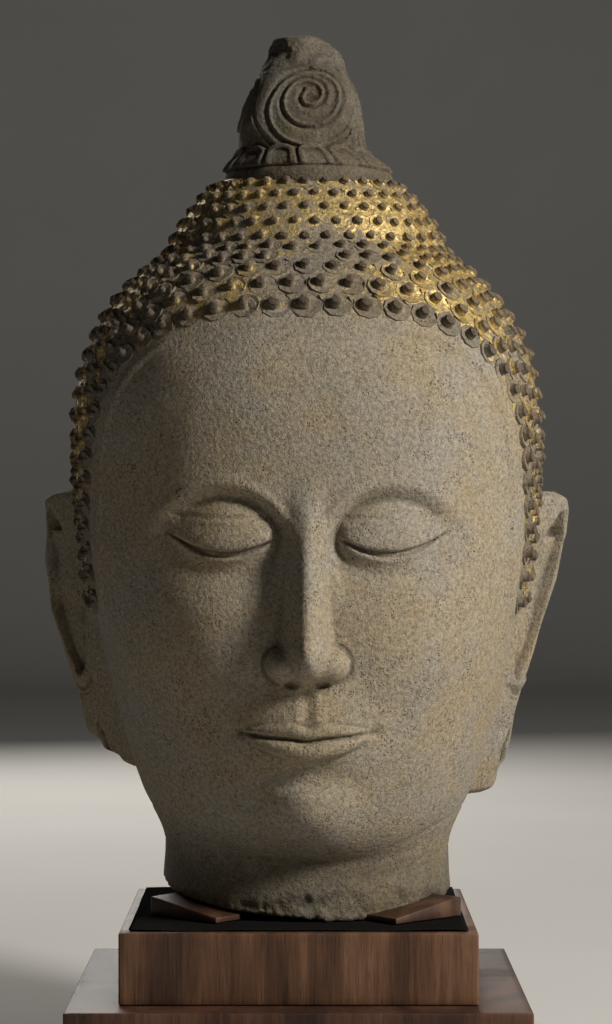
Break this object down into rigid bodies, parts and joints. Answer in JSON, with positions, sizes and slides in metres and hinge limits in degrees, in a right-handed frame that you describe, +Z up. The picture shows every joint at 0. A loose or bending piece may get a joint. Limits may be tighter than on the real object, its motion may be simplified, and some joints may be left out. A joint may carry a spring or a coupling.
{
  "type": "stone buddha head",
  "caption": "Carved sandstone head of a Buddha with snail-shell curls, long ears and a scrolled finial, wedged upright on a stepped wooden plinth.",
  "frame": {"origin": "middle of the plinth's underside", "axes": "+Z up through the head, -Y the way the face looks, +X to the right of someone facing it"},
  "size_m": [0.4233, 0.4136, 0.7963],
  "materials": {
    "sandstone": "grey-brown sandstone, fine grained, with worn gilding on the curls",
    "felt": "thin black felt",
    "plinth_wood": "dark brown hardwood, oiled",
    "wedge_wood": "reddish hardwood, bare"
  },
  "bodies": {
    "root": {"head": "sandstone", "felt_mat": "felt", "plinth_upper_block": "plinth_wood", "plinth_lower_block": "plinth_wood", "wedge_right": "wedge_wood", "wedge_left": "wedge_wood"}
  },
  "joints": []
}
